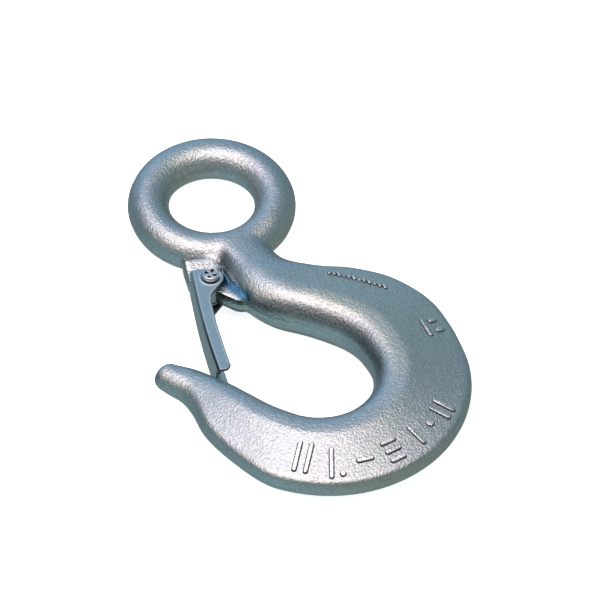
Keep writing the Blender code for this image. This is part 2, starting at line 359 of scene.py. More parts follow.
def to_pivot(points):
    """Plan positions measured in the latch's frame."""
    lean = math.radians(LATCH_LEAN_DEG)
    turn = np.array(((math.cos(lean), -math.sin(lean)), (math.sin(lean), math.cos(lean))))
    return (points[:, :2] - PIVOT) @ turn


PIVOT_FRAME = Matrix.Translation((*PIVOT, 0.0)) @ Matrix.Rotation(math.radians(LATCH_LEAN_DEG), 4, "Z")
HOOK_FRAME = Matrix.Translation(EYE_CENTRE)


# The pad between the ring and the latch, in the latch's frame: its plan, the ridge that runs across
# it, the slope of its front towards the latch and the fall of its back to the ring.
BOSS_X = (-7.3, 5.6)
BOSS_Y = (2.0, 14.0)
BOSS_RIDGE_Y = 10.7
BOSS_RIDGE_FLAT = 0.3
BOSS_HEIGHT = 4.5
BOSS_FRONT_SLOPE = 0.3
BOSS_BACK_FALL = 1.4
BOSS_BACK_REACH = 1.6
BOSS_LEFT_ROUND = 1.2
BOSS_RIGHT_ROUND = 2.5

# The thin tongue that the latch's cheeks straddle, in plan: its round end and the corners after it.
TONGUE_HALF = 3.2
TONGUE_ROUND = 3.8
TONGUE_CORNERS = [(5.2, -7.4), (8.7, -10.6), (14.0, -8.0), (10.0, 8.0), (-3.8, 8.0)]


def roll(distance, radius):
    """How far a round edge has dropped at a distance past its top."""
    reach = np.clip(distance, 0.0, 0.98 * radius)
    return radius - np.sqrt(radius**2 - reach**2)


def boss(columns=34, rows=28):
    """A pad with a curved top above and the same below."""
    x = np.linspace(*BOSS_X, columns)[None, :]
    y = np.linspace(*BOSS_Y, rows)[:, None]
    front = BOSS_FRONT_SLOPE * np.clip(BOSS_RIDGE_Y - y, 0.0, None)
    back = BOSS_BACK_FALL * np.clip(y - BOSS_RIDGE_Y - BOSS_RIDGE_FLAT, 0.0, BOSS_BACK_REACH)
    top = np.maximum(BOSS_HEIGHT - front, TONGUE_HALF) - back
    top = top - roll(x - BOSS_X[1] + BOSS_RIGHT_ROUND, BOSS_RIGHT_ROUND)
    top = top - roll(BOSS_X[0] + BOSS_LEFT_ROUND - x, BOSS_LEFT_ROUND)
    plan = np.stack(np.broadcast_arrays(x, y), axis=2)
    return slab("boss", np.dstack([plan, top]), np.dstack([plan, -top]))


def slab(name, upper, lower):
    """A closed solid between two grids of points of the same shape."""
    rows, columns = upper.shape[:2]
    count = rows * columns

    def at(layer, row, column):
        return layer * count + row * columns + column

    faces = []
    for row in range(rows - 1):
        for column in range(columns - 1):
            ring = [(row, column), (row, column + 1), (row + 1, column + 1), (row + 1, column)]
            faces.append([at(0, *corner) for corner in ring])
            faces.append([at(1, *corner) for corner in reversed(ring)])
    rim = [(0, column) for column in range(columns)] + [(row, columns - 1) for row in range(1, rows)]
    rim += [(rows - 1, column) for column in range(columns - 2, -1, -1)]
    rim += [(row, 0) for row in range(rows - 2, 0, -1)]
    for corner, after in zip(rim, rim[1:] + rim[:1]):
        faces.append([at(0, *after), at(0, *corner), at(1, *corner), at(1, *after)])
    mesh = bpy.data.meshes.new(name)
    mesh.from_pydata(np.vstack([upper.reshape(-1, 3), lower.reshape(-1, 3)]).tolist(), [], faces)
    return mesh


def tongue():
    """A flat plate round the pivot, which runs into the shank."""
    outline = arc((0.0, 0.0), TONGUE_ROUND, 180.0, 285.0, 16) + TONGUE_CORNERS
    return prism("tongue", outline, -TONGUE_HALF, TONGUE_HALF)


# The hollow that rises from the tongue to the shank: the line where it leaves the tongue, its radius
# at the line's two ends, how far it turns up, and how far its middle is from the line.
HOLLOW_START = (0.8, 2.3)
HOLLOW_END = (8.4, -10.2)
HOLLOW_RADII = (4.6, 1.6)
HOLLOW_TURN_DEG = 80.0
HOLLOW_MIDDLE = 2.1


def hollow(along=40, across=16):
    """A ruled fillet along the line, the same above and below."""
    share = np.linspace(0.0, 1.0, along)[:, None]
    line = np.array(HOLLOW_START) + share * (np.array(HOLLOW_END) - HOLLOW_START)
    ahead = (line[-1] - line[0]) / np.linalg.norm(line[-1] - line[0])
    aside = np.array((-ahead[1], ahead[0]))
    radius = HOLLOW_RADII[0] + share * (HOLLOW_RADII[1] - HOLLOW_RADII[0])
    turn = np.radians(np.linspace(0.0, HOLLOW_TURN_DEG, across))[None, :]
    plan = line[:, None, :] + (radius * np.sin(turn))[:, :, None] * aside
    top = TONGUE_HALF + radius * (1 - np.cos(turn))
    return slab("hollow", np.dstack([plan, top]), np.dstack([plan, -top]))


def hollow_distance(local):
    """How far plan positions in the latch's frame are from the middle of the hollow."""
    line = np.array(HOLLOW_END) - HOLLOW_START
    length = np.linalg.norm(line)
    ahead = line / length
    aside = np.array((-ahead[1], ahead[0]))
    share = np.clip((local - HOLLOW_START) @ ahead / length, 0.0, 1.0)
    nearest = np.array(HOLLOW_START) + share[:, None] * line + HOLLOW_MIDDLE * aside
    return np.linalg.norm(local - nearest, axis=1)


def cylinder(name, radius, low, high, segments=48):
    return prism(name, arc((0.0, 0.0), radius, 0.0, 360.0 * (1 - 1 / segments), segments - 1), low, high)


FORGING_VOXEL = 0.45
PIN_HOLE_RADIUS = 2.3
PIN_HOLE_HALF = 12.0

# Places where the skin is eased more or less: the neck in plan, and in the latch's frame the lugs
# and the hollow's upper end.
NECK_MIDDLE = (1.0, -31.0)
LUGS_MIDDLE = (-1.0, 4.0)
HOLLOW_HEAD = (6.6, 2.4)


def eased_skin(mesh, shell):
    """The mesh's points on the shell's exact surface, with fillets where its solids join."""
    points = coordinates(mesh)
    tree = surface_tree(shell)
    eased = smoothed(mesh, points, np.ones(len(points)), 3)
    exact = np.array([tree.find_nearest(point)[0] for point in eased])

    local = to_pivot(exact)
    neck = fade(away_from(NECK_MIDDLE, exact[:, :2]), 12.0, 19.0)
    at_lugs = fade(away_from(LUGS_MIDDLE, local), 5.5, 9.0)
    join = np.clip(neck - 0.85 * at_lugs, 0.08, 1.0)
    in_hollow = fade(hollow_distance(local), 1.6, 3.0)
    in_hollow = np.maximum(in_hollow, fade(away_from(HOLLOW_HEAD, local), 1.2, 3.0))
    points = exact + (eased - exact) * (0.5 + 0.5 * in_hollow)[:, None]
    return smoothed(mesh, points, np.maximum(join, 0.8 * in_hollow), 40)


def forging_mesh():
    """The eye, shank, bowl and tip in one skin, with the unevenness of a forging."""
    lugs = [boss(), tongue(), hollow()]
    for mesh in lugs:
        mesh.transform(PIVOT_FRAME)
    shell = joined("forging_shell", [shank_and_bowl(), torus(EYE_RING_RADIUS, EYE_BAR_RADIUS), *lugs])
    mesh = fused("forging", shell, FORGING_VOXEL)
    points = eased_skin(mesh, shell)
    set_coordinates(mesh, points)
    normals = vertex_normals(mesh)
    points += normals * forging_relief(points, normals)[:, None]
    set_coordinates(mesh, points)
    bore = cylinder("pin_bore", PIN_HOLE_RADIUS, -PIN_HOLE_HALF, PIN_HOLE_HALF)
    bore.transform(PIVOT_FRAME)
    return cut("forging", mesh, bore)


WAVE_DEPTH = 0.05
WAVE_SIZE = 9.0
PEEL_DEPTH = 0.016
PEEL_SIZE = 1.7
RELIEF_DROP = 0.02
SEAM_HEIGHT = 0.12
SEAM_HALF = 1.3


def forging_relief(points, normals):
    """How far the surface stands out: the dies' unevenness, and the trimmed seam at mid-height."""
    relief = np.empty(len(points))
    for index, point in enumerate(points):
        place = Vector(point)
        relief[index] = WAVE_DEPTH * noise.noise(place / WAVE_SIZE)
        relief[index] += PEEL_DEPTH * noise.noise(place / PEEL_SIZE)
    upright = 1.0 - np.abs(normals[:, 2])
    seam = fade(np.abs(points[:, 2]), SEAM_HALF - 0.5, SEAM_HALF + 0.4)
    seam *= np.clip(upright * 1.5 - 0.5, 0.0, 1.0)
    return relief + SEAM_HEIGHT * seam - RELIEF_DROP


def paint(mesh, name, values):
    """Stores a value from 0 to 1 for each point of a mesh, for its material."""
    layer = mesh.attributes.new(name, "FLOAT", "POINT")
    layer.data.foreach_set("value", np.clip(values, 0.0, 1.0).astype(np.float32))


def latch_painted_shade(mesh):
    """Painted shade along the bends between the web and the cheeks, on the cut edges and on the inside."""
    x, y, z = coordinates(mesh).T
    share = (LATCH_TOP - y) / (LATCH_TOP - LATCH_END)
    bend = WEB_FACE_X - WEB_BOW * np.sin(math.pi * share) + WEB_LEAN * share + BEND_LINE
    line = fade(np.abs(x - bend), 0.2, 0.6) * (np.abs(z) > CHANNEL_HALF - 0.3 * SHEET)
    inside = 0.5 * ((np.abs(z) < CHANNEL_HALF - 0.8 * SHEET) & (x > bend + 0.6))
    edge = 0.75 * fade(free_edge(y) - x, 0.0, 0.3)
    edge = np.maximum(edge, 0.9 * fade(y - LATCH_END, 0.2, 0.7))
    return line * np.clip(0.5 + 0.5 * share, 0.0, 1.0) + inside + edge


def latch_painted_highlight(mesh):
    """A painted highlight: a bright line just inside the cheeks' free edges."""
    x, y, z = coordinates(mesh).T
    from_edge = free_edge(y) - x + 2.0 * fade(y - LATCH_END, 1.0, 3.0)
    return fade(np.abs(from_edge - HIGHLIGHT_INSET), 0.1, 0.4) * (np.abs(z) > CHANNEL_HALF - 0.5 * SHEET)


def rivet_painted_shade(mesh):
    """Painted shade in the staked dents and under the heads."""
    x, y, z = coordinates(mesh).T
    reach = np.hypot(x, y)
    top = HEAD_UNDERSIDE + STAKED_HEIGHT
    dents = ramp(top - RIM_HEIGHT - 0.1 - z, 0.0, 0.3) * (reach < RIM_CENTRE)
    under = ramp(HEAD_UNDERSIDE + 0.5 - z, 0.0, 0.4)
    return np.where(z > 0, np.maximum(dents, 0.7 * under), 0.0)


# Painted shade and painted highlight on each ring of a raised mark, from its foot to its top: shade at the
# foot, highlight on the top.
MARK_PAINTED_SHADE = (1.0, 1.0, 1.0, 0.75, 0.25, 0.0, 0.0)
MARK_PAINTED_HIGHLIGHT = (0.0, 0.0, 0.0, 0.3, 1.0, 1.0, 1.0)


def by_mark_ring(mesh, values):
    """One value for each ring of every mark, spread over the points of its mesh."""
    rings_in_all = len(mesh.vertices) // MARK_RING
    return np.repeat(np.tile(values, rings_in_all // len(values)), MARK_RING)


def bulge(mesh):
    """How far points stand out from their smoothed surroundings: corners above zero, hollows below."""
    points = coordinates(mesh)
    eased = smoothed(mesh, points, np.ones(len(points)), 10)
    return ((points - eased) * vertex_normals(mesh)).sum(axis=1)


def tilt(mesh):
    """1 where the surface is level, 0 where it is upright."""
    return np.abs(vertex_normals(mesh)[:, 2])


# Plan positions of the middles of the hook's opening, of the shank's inner side, of its back, and
# of the seam that shows along the saddle.
OPENING_MIDDLE = (-8.0, -76.0)
SHANK_MIDDLE = (11.0, -73.0)
BACK_MIDDLE = (32.0, -72.0)
SEAM_MIDDLE = (2.0, -57.0)

# In the latch's frame, the crevice beside the pivot, where shade is painted, and the tongue's dark lines
# of painted shade and bright edge of painted highlight.
# The lines and the edge also have how far they are from mid-height.
CREVICE = (6.6, 7.0)
LINES_MIDDLE = (5.0, -8.0)
LOW_LINE = 1.7
HIGH_LINE = 2.55
EDGE_MIDDLE = (5.0, -7.6)
EDGE_LINE = 3.1

# How far a corner stands out before it counts as sharp.
SHARP = 0.07


def forging_shade_and_seam(mesh):
    """Painted shade beside the latch's pivot, in tight hollows, in lines on the tongue, along sharp
    corners and below the shank's crest, and a dark line along the trimmed seam.
    """
    points = coordinates(mesh)
    local = to_pivot(points)
    plan = points[:, :2]
    height = np.abs(points[:, 2])
    out = bulge(mesh)
    # Painted shade in the crevice beside the pivot.
    beside = 0.6 * fade(np.linalg.norm((local - CREVICE) * (1.0, 0.4), axis=1), 0.6, 3.2)
    beside *= fade(height, 7.2, 8.5)
    # Painted shade in tight hollows.
    creases = 0.8 * ramp(-out, 0.03, 0.09)
    # Painted shade as dark lines along the tongue's side.
    on_tongue = fade(away_from(LINES_MIDDLE, local), 4.0, 6.0)
    lines = fade(np.abs(height - LOW_LINE), 0.15, 0.5) + fade(np.abs(height - HIGH_LINE), 0.2, 0.5)
    along_saddle = fade(away_from(SEAM_MIDDLE, plan), 14.0, 20.0)
    along_saddle *= plan[:, 0] < 1.0 - 0.62 * (plan[:, 1] + 60.0)
    seam = 0.4 * along_saddle * fade(np.abs(height - SEAM_HALF), 0.1, 0.4)
    # Painted shade as a dark line along sharp corners, where they turn from face to wall.
    under_corner = ramp(out, SHARP, 0.06) * fade(np.abs(tilt(mesh) - 0.5), 0.08, 0.26)
    shade_and_seam = beside + creases + 0.85 * on_tongue * lines + seam + 0.6 * under_corner
    # Painted shade as a dark band below the shank's crest.
    return shade_and_seam + 0.55 * below_crest(mesh, points)


def below_crest(mesh, points):
    """1 along the shank's inner side, just below its high line, where a dark band of painted shade goes.
    """
    inwards = OPENING_MIDDLE - points[:, :2]
    inwards /= np.linalg.norm(inwards, axis=1)[:, None]
    facing = np.clip(2.0 * (vertex_normals(mesh)[:, :2] * inwards).sum(axis=1) - 0.3, 0.0, 1.0)
    along = fade(away_from(SHANK_MIDDLE, points[:, :2]), 24.0, 31.0)
    return facing * along * fade(np.abs(tilt(mesh) - 0.55), 0.1, 0.32)


def forging_wear_and_highlight(mesh):
    """The brighter metal of rubbed corners, on their upper half, and a painted highlight along the
    tongue's upper edge.
    """
    points = coordinates(mesh)
    local = to_pivot(points)
    brightened = ramp(bulge(mesh), SHARP, 0.08) * ramp(tilt(mesh), 0.62, 0.15)
    # Painted highlight along the tongue's upper edge.
    on_tongue = fade(away_from(EDGE_MIDDLE, local), 4.0, 5.5)
    on_tongue *= 1.0 - fade(hollow_distance(local), 1.6, 2.4)
    edge = fade(np.abs(np.abs(points[:, 2]) - EDGE_LINE), 0.08, 0.3)
    edge *= fade(np.abs(tilt(mesh) - 0.75), 0.15, 0.24)
    return brightened + 1.4 * on_tongue * edge


def forging_hollow_shade(mesh):
    """Painted shade, dark blue, in the hollow."""
    points = coordinates(mesh)
    near = fade(hollow_distance(to_pivot(points)), 0.9, 2.8)
    return near * ramp(np.abs(points[:, 2]), 2.2, 1.0)


def forging_greening(mesh):
    """The greener plating on the flat of the back."""
    near = fade(away_from(BACK_MIDDLE, coordinates(mesh)[:, :2]), 22.0, 42.0)
    return near * ramp(tilt(mesh), 0.9, 0.07)


def finish_mesh(mesh, frame, node):
    """Puts a mesh in the part's frame, in metres, and inside the node's CAD box where one is named."""
    mesh.transform(Matrix.Scale(MM, 4) @ frame)
    if node:
        low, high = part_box(node)
        set_coordinates(mesh, np.clip(coordinates(mesh), low, high))
    mesh.shade_smooth()
    return mesh


# ---------------------------------------------------------------- latch, rivet and spring

# The latch is a channel pressed from sheet, lofted along its length from the pivot's frame.
SHEET = 1.2
LATCH_TOP = 4.4
LATCH_END = -43.0
WEB_FACE_X = -6.4
WEB_BOW = 0.8
WEB_LEAN = 0.1
WEB_END = -41.0
BEND_RADIUS = 0.8
CHANNEL_HALF = 6.6
CHANNEL_FLARE = 0.5
LOBE_RADIUS = 4.4
END_CORNER = 2.6
LIP_RADIUS = 3.6
LIP_HEIGHT = 0.16
BEND_LINE = 0.55
HIGHLIGHT_INSET = 0.55
WEB_CUT_HALF = 5.2

# The cheeks' free edge below the lobe round the rivet, as (y, x) from the tip up.
FREE_EDGE = ((LATCH_END, -1.2), (-34.0, -1.7), (-21.0, -2.2), (-11.0, -1.9), (-7.6, -1.2), (-2.9, 3.3))
LOBE_END = FREE_EDGE[-1][0]

# Stations are closer together round the rivet than along the rest of the latch.
FINE_END = -9.0
FINE_STEP = 0.3
COARSE_STEP = 0.5
CHEEK_POINTS = 30
WEB_POINTS = 12


def free_edge(y):
    """The x of the cheeks' free edge at each y."""
    edge = np.interp(y, *zip(*FREE_EDGE))
    lobe = np.sqrt(np.clip(LOBE_RADIUS**2 - y**2, 0.0, None))
    edge = np.where(y > LOBE_END, lobe, edge)
    past_corner = np.clip(LATCH_END + END_CORNER - y, 0.0, END_CORNER)
    return edge - (END_CORNER - np.sqrt(END_CORNER**2 - past_corner**2))


def channel_section(y, thick):
    """The sheet's closed outline across the latch at one y: (x, z) rows."""
    share = (LATCH_TOP - y) / (LATCH_TOP - LATCH_END)
    half = CHANNEL_HALF + CHANNEL_FLARE * share - SHEET / 2
    web = WEB_FACE_X - WEB_BOW * math.sin(math.pi * share) + WEB_LEAN * share + SHEET / 2
    bend_x = web + BEND_RADIUS
    end_x = float(free_edge(np.array(y))) - SHEET / 2

    cheek = np.column_stack([np.linspace(end_x, bend_x, CHEEK_POINTS), np.full(CHEEK_POINTS, half)])
    turn = np.radians(np.linspace(90.0, 180.0, 9))[1:]
    bend_centre = np.array((bend_x, half - BEND_RADIUS))
    bend_way = np.column_stack([np.cos(turn), np.sin(turn)])
    web_z = np.linspace(half - BEND_RADIUS, 0.0, WEB_POINTS + 1)[1:]
    side = np.column_stack([np.full(WEB_POINTS, web), web_z])
    middle = np.vstack([cheek, bend_centre + BEND_RADIUS * bend_way, side])
    cheek_way = np.tile((0.0, 1.0), (CHEEK_POINTS, 1))
    web_way = np.tile((-1.0, 0.0), (WEB_POINTS, 1))
    outward = np.vstack([cheek_way, bend_way, web_way])
    middle = np.vstack([middle, (middle * (1, -1))[-2::-1]])
    outward = np.vstack([outward, (outward * (1, -1))[-2::-1]])

    around = np.radians(np.linspace(90.0, -90.0, 9))[1:-1]
    cap = thick / 2 * np.column_stack([np.cos(around), np.sin(around)])
    outer = middle + outward * thick / 2
    inner = middle - outward * thick / 2
    return np.vstack([outer, middle[-1] + cap[::-1], inner[::-1], middle[0] + cap[::-1]])


def latch_stations():
    """(y, thickness) along the latch, thinning at both ends to round them."""
    half = SHEET / 2
    turns = np.radians(np.linspace(8.0, 90.0, 6))
    top = [(LATCH_TOP - half + half * math.cos(turn), SHEET * math.sin(turn)) for turn in turns]
    end = [(LATCH_END + half - half * math.cos(turn), SHEET * math.sin(turn)) for turn in turns[::-1]]
    fine = np.arange(LATCH_TOP - half, FINE_END, -FINE_STEP)
    coarse = np.arange(FINE_END, LATCH_END + half, -COARSE_STEP)
    return top + [(y, SHEET) for y in np.concatenate([fine, coarse])[1:]] + end


def latch_mesh():
    """The channel with a lip round the rivet, and its web shorter than its cheeks."""
    rings = []
    for y, thick in latch_stations():
        outline = channel_section(y, thick)
        rings.append(np.column_stack([outline[:, 0], np.full(len(outline), y), outline[:, 1]]))
    points = np.vstack(rings)
    reach = np.hypot(points[:, 0], points[:, 1])
    outside = np.abs(points[:, 2]) > CHANNEL_HALF - SHEET / 2
    lip = LIP_HEIGHT * fade(np.abs(reach - LIP_RADIUS), 0.05, 0.55) * outside
    points[:, 2] += lip * np.sign(points[:, 2])
    mesh = lofted("latch_sheet", points, len(rings[0]))
    past_web = [(-12, -60), (0, -60), (0, WEB_END), (-12, WEB_END)]
    mesh = cut("latch_trimmed", mesh, prism("web_cut", past_web, -WEB_CUT_HALF, WEB_CUT_HALF))
    return cut("latch_sheet", mesh, cylinder("pin_holes", PIN_HOLE_RADIUS, -PIN_HOLE_HALF, PIN_HOLE_HALF))


def lofted(name, points, count):
    """Faces round and between rings of count points, closed flat at both ends."""
    rings = len(points) // count
    faces = [tuple(range(count))[::-1]]
    for index in range(rings - 1):
        near, far = index * count, (index + 1) * count
        for corner in range(count):
            after = (corner + 1) % count
            faces.append((near + corner, near + after, far + after, far + corner))
    faces.append(tuple(range((rings - 1) * count, rings * count)))
    mesh = bpy.data.meshes.new(name)
    mesh.from_pydata(points.tolist(), [], faces)
    return joined(name, [mesh])


# Rivet, in the latch's frame.
PIN_RADIUS = 2.0
HEAD_UNDERSIDE = 6.9
STAKED_RADIUS = 2.9
STAKED_HEIGHT = 1.7
FORMED_RADIUS = 3.6
DOME_HEIGHT = 1.45
STAKE_DEPTH = 0.75
RIM_HEIGHT = 0.3
RIM_ROUND = 0.55
RIM_CENTRE = 2.35
RIM_INNER = 1.7
STAKE_TURN_DEG = 58.0
STAKE_RADIUS = 1.45
HEAD_EDGE = 0.15
DOME_EDGE = 0.2


def rivet_mesh(around=96):
    """The rivet: a domed head below, and above a collar staked by four dents."""
    top = HEAD_UNDERSIDE + STAKED_HEIGHT
    floor_height = top - RIM_HEIGHT
    profile = [(radius, floor_height) for radius in np.linspace(0.15, RIM_INNER, 12)]
    profile += arc((RIM_CENTRE, top - RIM_ROUND), RIM_ROUND, 165.0, 0.0, 16)
    profile += [(STAKED_RADIUS, HEAD_UNDERSIDE + HEAD_EDGE), (STAKED_RADIUS - HEAD_EDGE, HEAD_UNDERSIDE)]
    profile += [(PIN_RADIUS, HEAD_UNDERSIDE), (PIN_RADIUS, -HEAD_UNDERSIDE)]
    profile += [(FORMED_RADIUS - HEAD_EDGE, -HEAD_UNDERSIDE), (FORMED_RADIUS, -HEAD_UNDERSIDE - DOME_EDGE)]
    for turn in np.radians(np.linspace(12.0, 86.0, 10)):
        radius = FORMED_RADIUS * math.cos(turn)
        profile.append((radius, -HEAD_UNDERSIDE - DOME_EDGE - DOME_HEIGHT * math.sin(turn)))
    turn = np.linspace(0.0, 2 * math.pi, around, endpoint=False)
    circle = np.column_stack([np.cos(turn), np.sin(turn)])
    points = np.vstack([np.column_stack([radius * circle, np.full(around, z)]) for radius, z in profile])
    reach = np.hypot(points[:, 0], points[:, 1])
    angle = np.arctan2(points[:, 1], points[:, 0]) - math.radians(STAKE_TURN_DEG)
    star = fade(1.0 - np.cos(4 * angle), 0.25, 1.0)
    dent = STAKE_DEPTH * star * fade(np.abs(reach - STAKE_RADIUS), 0.3, 0.85)
    points[:, 2] -= np.where(points[:, 2] > HEAD_UNDERSIDE + 0.6, dent, 0.0)
    return lofted("rivet", points, around)


# Spring, in the latch's frame: a coil on each side of the tongue, joined by a bridge on the web.
WIRE_RADIUS = 0.35
COIL_RADIUS = 3.0
COIL_TURNS = 1.25
COIL_PITCH = 0.75
COIL_LOW = 3.85
SPRING_LEG = 4.4
BRIDGE_X = -4.65
BRIDGE_Y = -12.0


def spring_path():
    """The wire's centreline from one leg to the other."""
    side = [(SPRING_LEG, COIL_RADIUS, COIL_LOW), (3.0, COIL_RADIUS, COIL_LOW)]
    for turned in np.linspace(0.0, COIL_TURNS, 48):
        angle = math.radians(90.0) + 2 * math.pi * turned
        height = COIL_LOW + COIL_PITCH * turned
        side.append((COIL_RADIUS * math.cos(angle), COIL_RADIUS * math.sin(angle), height))
    top = COIL_LOW + COIL_PITCH * COIL_TURNS
    side += [(-3.6, -3.0, top), (BRIDGE_X, -6.5, top), (BRIDGE_X, BRIDGE_Y + 1.0, top)]
    side += [(BRIDGE_X, BRIDGE_Y + 0.3, top - 0.3), (BRIDGE_X, BRIDGE_Y, top - 1.0)]
    return side + [(x, y, -z) for x, y, z in side[::-1]]


def spring_mesh():
    """A round wire along the path, as a mesh."""
    wire = bpy.data.curves.new("spring_wire", "CURVE")
    wire.dimensions = "3D"
    wire.bevel_depth = WIRE_RADIUS
    wire.bevel_resolution = 4
    wire.use_fill_caps = True
    points = spring_path()
    spline = wire.splines.new("POLY")
    spline.points.add(len(points) - 1)
    for point, place in zip(spline.points, points):
        point.co = (*place, 1.0)
    return evaluated(new_object("spring_wire", wire), "spring")


# ---------------------------------------------------------------- raised marks

# Plain bars and dots stand where the forging carries its raised marks: each is a line in plan with
# half its width, in millimetres from the eye's centre.
MARK_HEIGHT = 0.66
BACK_MARK_HEIGHT = 0.6
BAR_HALF = 0.8
BACK_BAR_HALF = 0.74
PIP_HALF = 0.6


def radial_bar(angle_deg, radius, length, shift=0.0, tilt_deg=0.0):
    """A bar that points from the bowl's middle, moved sideways and turned a little."""
    angle = math.radians(angle_deg)
    out = np.array((math.cos(angle), math.sin(angle)))
    side = np.array((-out[1], out[0]))
    middle = np.array(BACK_CENTRE) + out * radius + side * shift
    turned = angle + math.radians(tilt_deg)
    half = np.array((math.cos(turned), math.sin(turned))) * length / 2
    return middle - half, middle + half


MARK_RADIUS = 40.6


def bowl_marks():
    """(start, end, half width) of each mark, following the bowl."""
    marks = []
    tall, small = 9.4, 6.4
    for shift in (-2.0, 2.0):
        marks.append((*radial_bar(-127.8, MARK_RADIUS - 1.2, tall, shift), BAR_HALF))
    marks.append((*radial_bar(-113.5, MARK_RADIUS, tall), BAR_HALF))
    marks.append((*radial_bar(-108.5, MARK_RADIUS + 3.9, 0.0), BAR_HALF * 1.3))
    marks.append((*radial_bar(-97.0, MARK_RADIUS, 4.6, tilt_deg=90.0), BAR_HALF))
    for step in (-3.4, 0.0, 3.4):
        marks.append((*radial_bar(-82.2, MARK_RADIUS + step, 4.4, tilt_deg=90.0), BAR_HALF))
    marks.append((*radial_bar(-67.5, MARK_RADIUS, small), BAR_HALF))
    marks.append((*radial_bar(-57.1, MARK_RADIUS, 0.0), BAR_HALF * 1.9))
    for shift in (-1.8, 1.8):
        marks.append((*radial_bar(-46.5, MARK_RADIUS + 0.6, small, shift), BAR_HALF))
    return marks


def back_marks():
    """A bar and two dots on the back's widest part, and a row of small dots along the shank."""
    marks = [(*radial_bar(8.3, 39.2, 7.0, tilt_deg=84.0), BACK_BAR_HALF)]
    for angle_deg in (5.2, 11.6):
        marks.append((*radial_bar(angle_deg, 43.2, 1.2), BACK_BAR_HALF * 1.3))
    for step in range(12):
        share = step / 11
        place = np.array((21.0 + 15.0 * share, -50.6 - 11.4 * share - 1.5 * share * share))
        marks.append((place, place + (0.0, 0.6 * (step % 3)), PIP_HALF))
    return marks


MARK_RING = 20
ABOVE_ALL = 30.0

# A raised mark's profile: how far beyond its half width, and the share of its height. The bowl's
# marks have flat tops; the back's are round.
FLAT_PROFILE = (
    (0.26, -0.6),
    (0.20, 0.0),
    (0.15, 0.12),
    (-0.08, 0.78),
    (-0.15, 0.92),
    (-0.28, 1.0),
    (-0.45, 1.03),
)
ROUND_PROFILE = (
    (0.26, -0.6),
    (0.20, 0.0),
    (0.14, 0.25),
    (0.02, 0.55),
    (-0.16, 0.80),
    (-0.36, 0.96),
    (-0.55, 1.03),
)


def bead(start, end, half, height, profile, surface):
    """A closed bead with steep flanks along a line, standing on the surface below it."""
    along = end - start
    heading = math.atan2(along[1], along[0])
    arc_steps = MARK_RING // 2
    turns = np.concatenate([
        heading + np.linspace(-math.pi / 2, math.pi / 2, arc_steps),
        heading + np.linspace(math.pi / 2, 3 * math.pi / 2, arc_steps),
    ])
    ends = np.array([end] * arc_steps + [start] * arc_steps)
    way = np.column_stack([np.cos(turns), np.sin(turns)])
    rings = []
    for beyond, rise in profile:
        plan = ends + way * max(half + beyond, 0.04)
        ground = np.array([surface(x, y) for x, y in plan])
        rings.append(np.column_stack([plan, ground + height * rise]))
    return lofted("bead", np.vstack(rings), MARK_RING)


def marks_mesh(forging):
    """All the raised marks, on the forging's upper face."""
    tree = surface_tree(forging)

    def surface(x, y):
        return tree.ray_cast(Vector((x, y, ABOVE_ALL)), Vector((0.0, 0.0, -1.0)))[0].z

    beads = [bead(*mark, MARK_HEIGHT, FLAT_PROFILE, surface) for mark in bowl_marks()]
    beads += [bead(*mark, BACK_MARK_HEIGHT, ROUND_PROFILE, surface) for mark in back_marks()]
    return joined("marks", beads)


# ---------------------------------------------------------------- materials


class Nodes:
    """A short way to write a material's nodes."""

    def __init__(self, name):
        self.material = bpy.data.materials.new(name)
        self.material.use_nodes = True
        self.tree = self.material.node_tree
        self.shader = self.tree.nodes["Principled BSDF"]
        self.place = self.add("ShaderNodeTexCoord").outputs["Object"]

    def add(self, kind, **settings):
        node = self.tree.nodes.new(kind)
        for name, value in settings.items():
            setattr(node, name, value)
        return node

    def link(self, value, socket):
        if isinstance(value, bpy.types.NodeSocket):
            self.tree.links.new(value, socket)
        else:
            socket.default_value = value

    def noise(self, size_mm, detail):
        node = self.add("ShaderNodeTexNoise")
        self.link(self.place, node.inputs["Vector"])
        node.inputs["Scale"].default_value = 1.0 / (size_mm * MM)
        node.inputs["Detail"].default_value = detail
        return node.outputs["Fac"]

    def painted(self, name):
        return self.add("ShaderNodeAttribute", attribute_name=name).outputs["Fac"]

    def cells(self, size_mm):
        node = self.add("ShaderNodeTexVoronoi")
        self.link(self.place, node.inputs["Vector"])
        node.inputs["Scale"].default_value = 1.0 / (size_mm * MM)
        return node.outputs["Distance"]

    def remap(self, value, low, high, to_low, to_high):
        node = self.add("ShaderNodeMapRange")
        for name, number in (("Value", value), ("From Min", low), ("From Max", high)):
            self.link(number, node.inputs[name])
        node.inputs["To Min"].default_value = to_low
        node.inputs["To Max"].default_value = to_high
        return node.outputs["Result"]

    def mix(self, share, first, second):
        node = self.add("ShaderNodeMix", data_type="RGBA")
        self.link(share, node.inputs["Factor"])
        self.link(first, node.inputs["A"])
        self.link(second, node.inputs["B"])
        return node.outputs["Result"]

    def math(self, operation, first, second):
        node = self.add("ShaderNodeMath", operation=operation)
        self.link(first, node.inputs[0])
        self.link(second, node.inputs[1])
        return node.outputs[0]

    def bump(self, height, depth_mm, strength, normal=None):
        node = self.add("ShaderNodeBump")
        self.link(height, node.inputs["Height"])
        node.inputs["Distance"].default_value = depth_mm * MM
        node.inputs["Strength"].default_value = strength
        if normal is not None:
            self.link(normal, node.inputs["Normal"])
        return node.outputs["Normal"]

    def metal(self, colour, roughness, normal):
        """Makes the material a bare metal."""
        self.link(colour, self.shader.inputs["Base Color"])
        self.link(roughness, self.shader.inputs["Roughness"])
        self.link(normal, self.shader.inputs["Normal"])
        self.shader.inputs["Metallic"].default_value = 1.0
        return self.material


